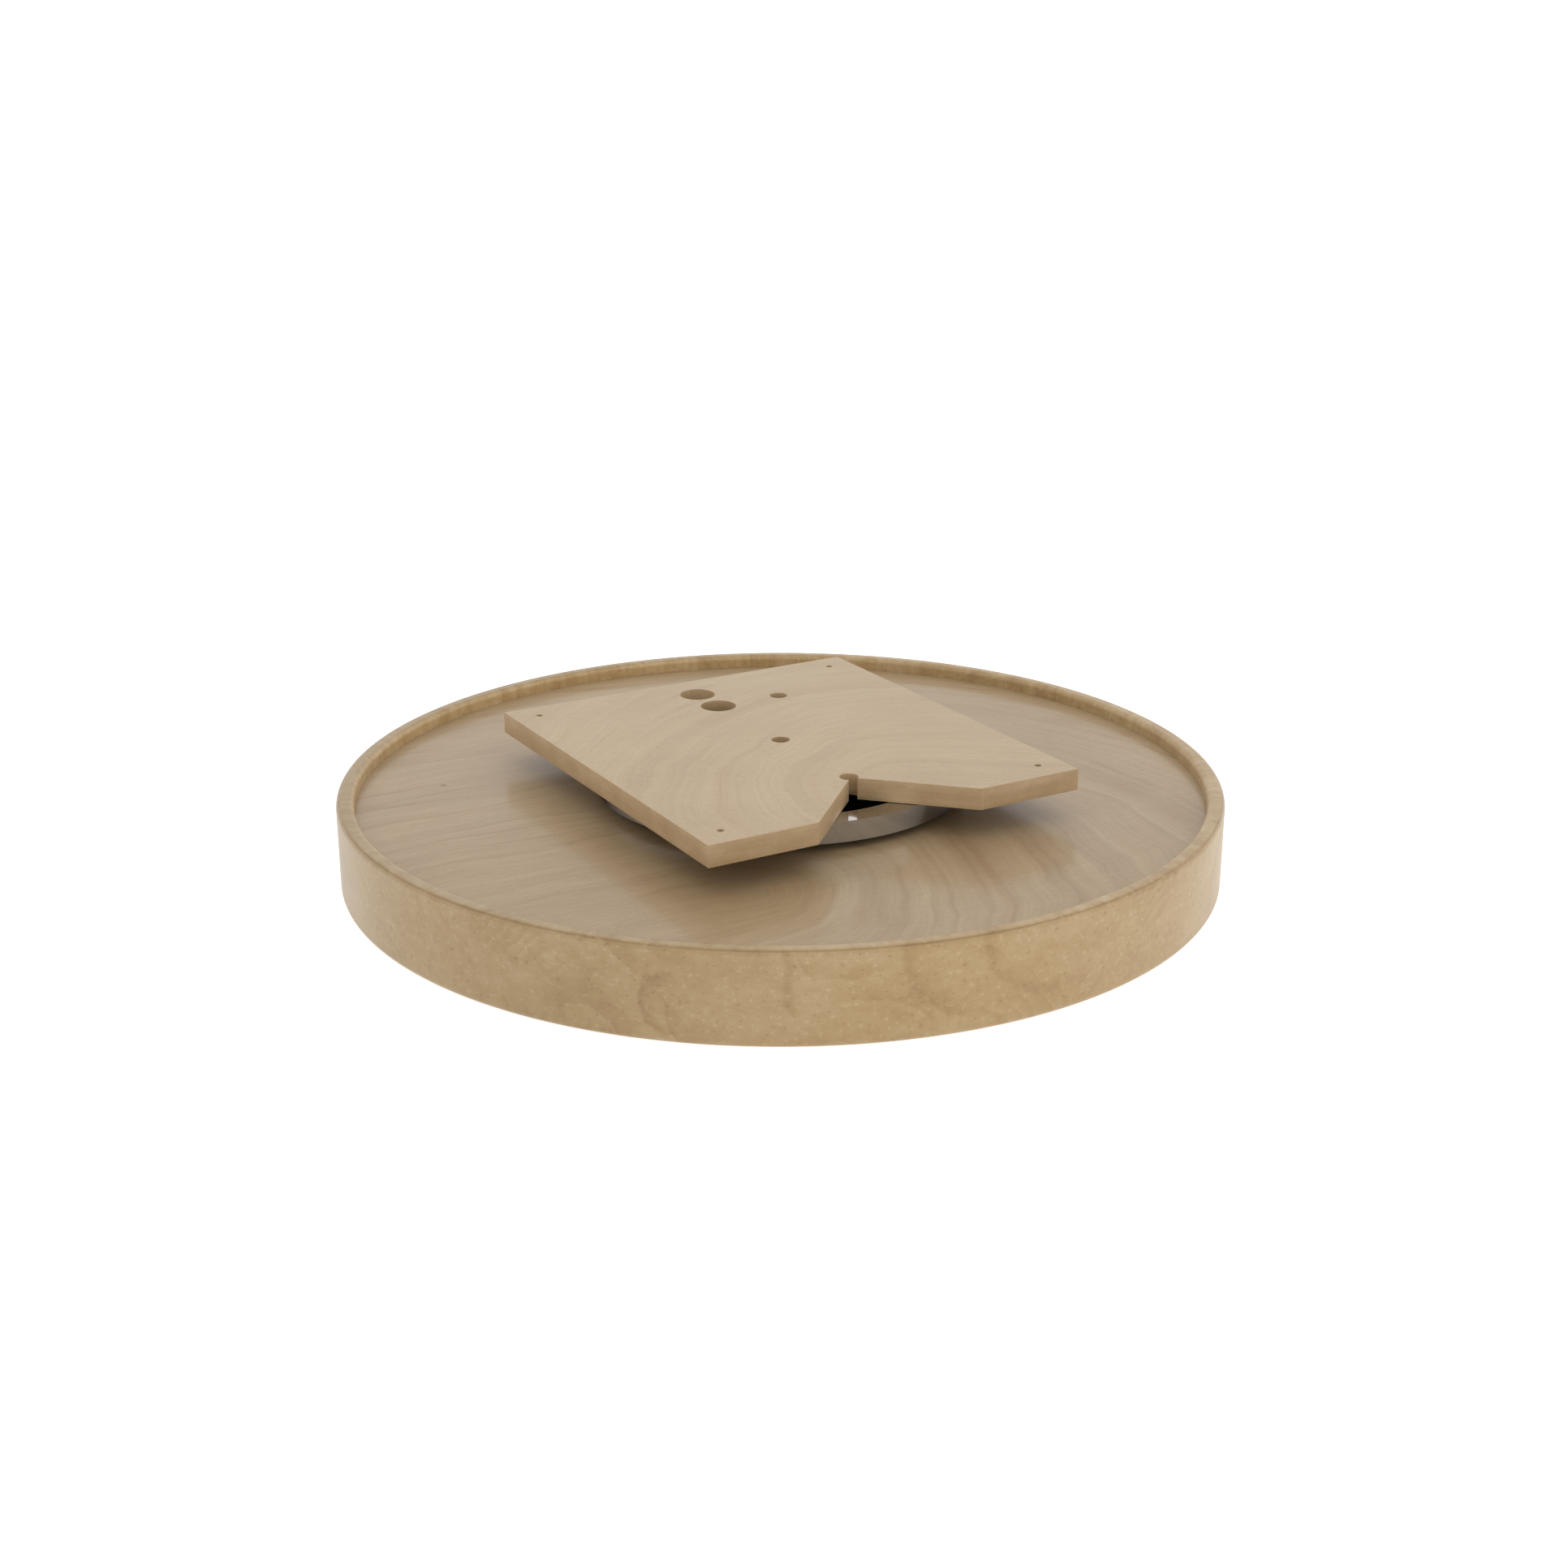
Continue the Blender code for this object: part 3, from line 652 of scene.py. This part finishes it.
def build_tray(rim_wood, panel_wood):
    """Bent hoop with the panel's tongue in its groove."""
    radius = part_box("rim_band")[1].x
    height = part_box("rim_band")[1].z
    panel_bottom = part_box("tray_panel")[0].z
    panel_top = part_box("tray_panel")[1].z
    inner = radius - RIM_THICKNESS
    groove = inner + TONGUE_LENGTH
    middle = (panel_bottom + panel_top) / 2
    groove_top = middle + TONGUE_THICKNESS / 2 + CLOSE_FIT
    groove_bottom = middle - TONGUE_THICKNESS / 2 - CLOSE_FIT
    outline = rounded([
        (radius, 0.0, RIM_ROUNDING),
        (radius, height, RIM_ROUNDING),
        (inner, height, RIM_ROUNDING),
        (inner, groove_top, 0),
        (groove, groove_top, 0),
        (groove, groove_bottom, 0),
        (inner, groove_bottom, 0),
        (inner, 0.0, RIM_ROUNDING),
    ])
    hoop = lathe("rim_hoop", outline, TRAY_STEPS, rim_wood, HOOP_SEAM)
    settle(hoop, "tray", "rim_maple", "rim_band")
    shoulder = circle(0, 0, inner - CLOSE_FIT, TRAY_STEPS)
    tongue = circle(0, 0, groove - CLOSE_FIT, TRAY_STEPS)
    board = stack("panel_board", [
        (shoulder, panel_bottom),
        (shoulder, groove_bottom + CLOSE_FIT),
        (tongue, groove_bottom + CLOSE_FIT),
        (tongue, groove_top - CLOSE_FIT),
        (shoulder, groove_top - CLOSE_FIT),
        (shoulder, panel_top),
    ], panel_wood)
    settle(board, "tray", "panel_maple", "tray_panel")


def plate_outline(half_x, half_y):
    """Rectangle whose front V notch opens into a small round hole."""
    apex = NOTCH_HALF_WIDTH - half_y
    rise = apex + INNER_HOLE_Y
    reach = (rise + math.sqrt(2 * SMALL_HOLE_RADIUS ** 2 - rise ** 2)) / 2
    start = math.atan2(rise - reach, -reach) + 2 * math.pi
    end = math.atan2(rise - reach, reach)
    points = [(-half_x, -half_y), (-NOTCH_HALF_WIDTH, -half_y)]
    for step in range(HOLE_STEPS + 1):
        turn = start + (end - start) * step / HOLE_STEPS
        x = SMALL_HOLE_RADIUS * math.cos(turn)
        points.append((x, SMALL_HOLE_RADIUS * math.sin(turn) - INNER_HOLE_Y))
    points += [(NOTCH_HALF_WIDTH, -half_y), (half_x, -half_y), (half_x, half_y), (-half_x, half_y)]
    return points


def build_plate(face_wood, edge):
    """Mounting plate with its holes and notch."""
    low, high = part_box("mounting_plate")
    corner_x = high.x - CORNER_HOLE_INSET
    corner_y = high.y - CORNER_HOLE_INSET
    holes = [
        circle(0, OUTER_DRIVER_HOLE_Y, DRIVER_HOLE_RADIUS),
        circle(0, INNER_HOLE_Y, DRIVER_HOLE_RADIUS),
        circle(SIDE_HOLE_X, INNER_HOLE_Y, SMALL_HOLE_RADIUS),
        circle(0, 0, SMALL_HOLE_RADIUS),
    ]
    for x in (-corner_x, corner_x):
        for y in (-corner_y, corner_y):
            holes.append(circle(x, y, CORNER_HOLE_RADIUS))
    outline = plate_outline(high.x, high.y)
    plate = flat_piece("plate_board", outline, holes, low.z, high.z, PLATE_ROUNDING, face_wood, edge)
    settle(plate, "swivel_plate", "plate_maple", "mounting_plate")


def build_ring(metal, black):
    """Bright swivel ring under the plate, and the black disc in its seat."""
    ring_low, ring_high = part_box("swivel_ring")
    disc_low, disc_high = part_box("dust_disc")
    ball_height = ball_plane()
    seat = disc_high.x + CLOSE_FIT
    race = BALL_CIRCLE + RACE_HALF_GAP
    wall = ring_high.x - RING_WALL
    web = ring_high.z - RING_WEB
    outline = [
        (wall, ring_low.z),
        (ring_high.x, ring_low.z),
        (ring_high.x, ring_high.z),
        (seat, ring_high.z),
        (seat, disc_low.z - CLOSE_FIT),
        (race, disc_low.z - CLOSE_FIT),
    ]
    outline += arc(BALL_CIRCLE, ball_height, GROOVE_RADIUS, GROOVE_HALF_ANGLE, -GROOVE_HALF_ANGLE,
                   GROOVE_STEPS)
    outline += [
        (race, ring_low.z),
        (race + OUTER_RACE_WALL, ring_low.z),
        (race + OUTER_RACE_WALL, web),
        (wall, web),
    ]
    ring = lathe("bright_ring", outline, BEARING_STEPS, metal)
    settle(ring, "swivel_plate", "ring_chrome", "swivel_ring")
    holes = [
        circle(0, 0, DISC_BORE, BEARING_STEPS),
        circle(0, INNER_HOLE_Y, DISC_ACCESS_RADIUS),
    ]
    outer = circle(0, 0, disc_high.x, BEARING_STEPS)
    disc = flat_piece(
        "black_disc", outer, holes, disc_low.z, disc_high.z, DISC_ROUNDING, black, black)
    settle(disc, "swivel_plate", "disc_black", "dust_disc")


def build_races(steel):
    """Inner race in two halves on the tray."""
    base_low, base_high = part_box("base_race")
    cap_low, cap_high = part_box("race_cap")
    ball_height = ball_plane()
    race = BALL_CIRCLE - RACE_HALF_GAP
    split_angle = math.degrees(math.asin(RACE_SPLIT / GROOVE_RADIUS))
    base_top = base_low.z + FLANGE_THICKNESS
    lower = arc(BALL_CIRCLE, ball_height, GROOVE_RADIUS, 180 + split_angle, 180 + GROOVE_HALF_ANGLE,
                GROOVE_STEPS)
    base = [
        (INNER_RACE_BORE, ball_height - RACE_SPLIT),
        *lower,
        (race, base_top),
        (base_high.x, base_top),
        (base_high.x, base_low.z),
        (FLANGE_BORE, base_low.z),
        (FLANGE_BORE, base_top),
        (INNER_RACE_BORE, base_top),
    ]
    upper = arc(BALL_CIRCLE, ball_height, GROOVE_RADIUS, 180 - GROOVE_HALF_ANGLE, 180 - split_angle,
                GROOVE_STEPS)
    sleeve = INNER_RACE_BORE - SLEEVE_GAP
    cap = [
        (sleeve - CAP_WALL, cap_high.z),
        (race, cap_high.z),
        *upper,
        (sleeve, ball_height + RACE_SPLIT),
        (sleeve, cap_low.z),
        (FLANGE_BORE, cap_low.z),
        (FLANGE_BORE, cap_low.z + FLANGE_THICKNESS),
        (sleeve - CAP_WALL, cap_low.z + FLANGE_THICKNESS),
    ]
    settle(lathe("race_base", base, BEARING_STEPS, steel), "tray", "race_steel", "base_race")
    settle(lathe("race_top", cap, BEARING_STEPS, steel), "tray", "race_steel", "race_cap")


def build_balls(steel):
    """Polished balls at the frame's places, all sharing one mesh."""
    bm = bmesh.new()
    bmesh.ops.create_uvsphere(
        bm, u_segments=BALL_STEPS, v_segments=BALL_STEPS // 2, radius=BALL_RADIUS)
    first = add_piece("steel_ball_01", bm, steel)
    for index in range(1, BALL_COUNT + 1):
        ball = first
        if index > 1:
            ball = bpy.data.objects.new(f"steel_ball_{index:02d}", first.data)
            bpy.context.scene.collection.objects.link(ball)
        low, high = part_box(f"ball_{index:02d}")
        ball.location = (low + high) / 2
        settle(ball, "ball_cage", "ball_steel", f"ball_{index:02d}")


def square(half_width, steps):
    """As many points as a circle has, but lying on a square."""
    points = []
    for x, y in circle(0, 0, 1.0, steps):
        reach = half_width / max(abs(x), abs(y))
        points.append((x * reach, y * reach))
    return points


def threaded(height, length):
    """Outline of the shank at one height below the head: a tapered tip, then a helical thread.

    The thread's crest takes up half of each pitch.
    """
    taper = min(1.0, (length + height) / TIP_LENGTH)
    points = []
    for index in range(SCREW_STEPS):
        turn = index / SCREW_STEPS
        phase = (height / THREAD_PITCH + turn) % 1.0
        crest = max(0.0, 1.0 - abs(phase - 0.5) * 4.0)
        radius = TIP_RADIUS + (THREAD_CORE + (SHANK_RADIUS - THREAD_CORE) * crest - TIP_RADIUS) * taper
        points.append((radius * math.cos(2 * math.pi * turn), radius * math.sin(2 * math.pi * turn)))
    return points


def build_screws(steel):
    """Pan head wood screws, modelled seat at height 0: heads up in the tray, down in the plate."""
    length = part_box("tray_screw_1")[1].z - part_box("tray_screw_1")[0].z - HEAD_HEIGHT
    rows = int(length / THREAD_PITCH * THREAD_ROWS_PER_TURN)
    outlines = []
    for row in range(rows):
        height = -length + length * row / rows
        outlines.append((threaded(height, length), height))
    outlines.append((circle(0, 0, SHANK_RADIUS, SCREW_STEPS), 0.0))
    outlines.append((circle(0, 0, HEAD_RADIUS, SCREW_STEPS), 0.0))
    for step in range(FILLET_STEPS + 1):
        slope = HEAD_DOME * step / FILLET_STEPS
        radius = HEAD_RADIUS * math.cos(slope)
        height = HEAD_EDGE + (HEAD_HEIGHT - HEAD_EDGE) * math.sin(slope) / math.sin(HEAD_DOME)
        outlines.append((circle(0, 0, radius, SCREW_STEPS), height))
    outlines.append((square(DRIVE_HALF_WIDTH, SCREW_STEPS), HEAD_HEIGHT))
    outlines.append((square(DRIVE_HALF_WIDTH, SCREW_STEPS), HEAD_HEIGHT - DRIVE_DEPTH))
    first = stack("pan_screw", outlines, steel)
    shape = first.data
    bpy.data.objects.remove(first)
    for kind, body, turn in (("tray", "tray", 0.0), ("plate", "swivel_plate", math.pi)):
        for index in range(1, SCREW_COUNT + 1):
            low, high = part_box(f"{kind}_screw_{index}")
            seat = high.z - HEAD_HEIGHT if turn == 0.0 else low.z + HEAD_HEIGHT
            screw = bpy.data.objects.new(f"{kind}_pan_screw_{index}", shape)
            bpy.context.scene.collection.objects.link(screw)
            screw.location = ((low.x + high.x) / 2, (low.y + high.y) / 2, seat)
            screw.rotation_euler = (turn, 0.0, 0.0)
            settle(screw, body, "screw_steel", f"{kind}_screw_{index}")


# --- scene ----------------------------------------------------------------------------------

def build_floor():
    """Plain pale floor that glows a little, so that it reads as white."""
    bm = bmesh.new()
    bmesh.ops.create_grid(bm, x_segments=1, y_segments=1, size=FLOOR_HALF_SIZE)
    shader = Shader("pale_floor")
    shader.set(Base_Color=FLOOR_COLOUR, Roughness=FLOOR_ROUGHNESS, Emission_Color=(1, 1, 1, 1),
               Emission_Strength=FLOOR_GLOW)
    floor = add_piece("floor", bm, shader.material)


def build_world():
    """White sky whose strength grows evenly towards the bright side."""
    world = bpy.data.worlds.new("studio")
    world.use_nodes = True
    tree = world.node_tree
    where = tree.nodes.new("ShaderNodeTexCoord")
    side = tree.nodes.new("ShaderNodeVectorMath")
    side.operation = "DOT_PRODUCT"
    side.inputs[1].default_value = BRIGHT_SIDE
    strength = tree.nodes.new("ShaderNodeMath")
    strength.operation = "MULTIPLY_ADD"
    strength.inputs[1].default_value = SKY_CONTRAST
    strength.inputs[2].default_value = SKY_STRENGTH
    tree.links.new(where.outputs["Generated"], side.inputs[0])
    tree.links.new(side.outputs["Value"], strength.inputs[0])
    tree.links.new(strength.outputs[0], tree.nodes["Background"].inputs["Strength"])
    tree.nodes["Background"].inputs["Color"].default_value = (1.0, 1.0, 1.0, 1.0)
    bpy.context.scene.world = world


def build_camera():
    """Camera at its azimuth and elevation about the target."""
    level = math.cos(CAMERA_ELEVATION)
    side = math.sin(CAMERA_AZIMUTH) * level
    front = -math.cos(CAMERA_AZIMUTH) * level
    away = Vector((side, front, math.sin(CAMERA_ELEVATION)))
    data = bpy.data.cameras.new("camera")
    data.lens = CAMERA_LENS
    data.sensor_width = CAMERA_SENSOR
    data.clip_end = CAMERA_REACH
    camera = bpy.data.objects.new("camera", data)
    camera.location = CAMERA_TARGET + away * CAMERA_DISTANCE
    camera.rotation_euler = (-away).to_track_quat("-Z", "Y").to_euler()
    bpy.context.scene.collection.objects.link(camera)
    bpy.context.scene.camera = camera


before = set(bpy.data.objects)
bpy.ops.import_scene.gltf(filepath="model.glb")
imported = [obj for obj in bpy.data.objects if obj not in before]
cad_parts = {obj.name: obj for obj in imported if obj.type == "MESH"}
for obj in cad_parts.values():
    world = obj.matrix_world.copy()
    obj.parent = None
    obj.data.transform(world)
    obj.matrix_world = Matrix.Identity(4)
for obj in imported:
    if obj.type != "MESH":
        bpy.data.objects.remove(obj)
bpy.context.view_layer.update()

build_camera()
build_world()
build_floor()

rim_wood = hoop_wood(
    "rim_maple_finish", RIM_TONES,
    edge_walk=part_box("rim_band")[1].z + (math.pi / 2 - 2) * RIM_ROUNDING)
panel_wood = board_wood(
    "panel_maple_finish", PANEL_TONES, centre=(-90.0 * MM, -120.0 * MM, 0.0), heading=0.0,
    flare=1.0, ring_rate=21.0, wander=70.0 * MM, ring_weight=0.17, band_weight=0.28,
    line_weight=0.32, roughness=0.5, gloss=0.25, coat=0.38, coat_roughness=0.16, knot=KNOT_PLACE)
plate_wood = board_wood(
    "plate_maple_finish", PLATE_TONES, centre=(-20.0 * MM, -130.0 * MM, 0.0), heading=145.0,
    flare=1.3, ring_rate=23.0, wander=70.0 * MM, ring_weight=0.09, band_weight=0.31,
    line_weight=0.31, roughness=0.42, gloss=0.4, coat=0.2, coat_roughness=0.3)
plate_edge = edge_wood("plate_edge_finish", PLATE_EDGE_TONES, roughness=0.5)
ring_chrome = chrome("ring_chrome_finish")
disc_black = moulded_plastic("disc_black_finish", DISC_COLOUR, roughness=0.6, gloss=0.0)
race_steel = plated_steel("race_steel_finish", RACE_COLOUR, roughness=0.28)
ball_steel = plated_steel("ball_steel_finish", BALL_COLOUR, roughness=0.08)
screw_steel = plated_steel("screw_steel_finish", SCREW_COLOUR, roughness=0.26)
cage_nylon = moulded_plastic("cage_nylon_finish", CAGE_COLOUR, roughness=0.48, gloss=0.5)

build_tray(rim_wood, panel_wood)
build_plate(plate_wood, plate_edge)
build_ring(ring_chrome, disc_black)
build_races(race_steel)
build_balls(ball_steel)
build_screws(screw_steel)
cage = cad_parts["ball_cage"]
cage.data.materials.clear()
cage.data.materials.append(cage_nylon)

bpy.context.scene.view_settings.view_transform = "Standard"
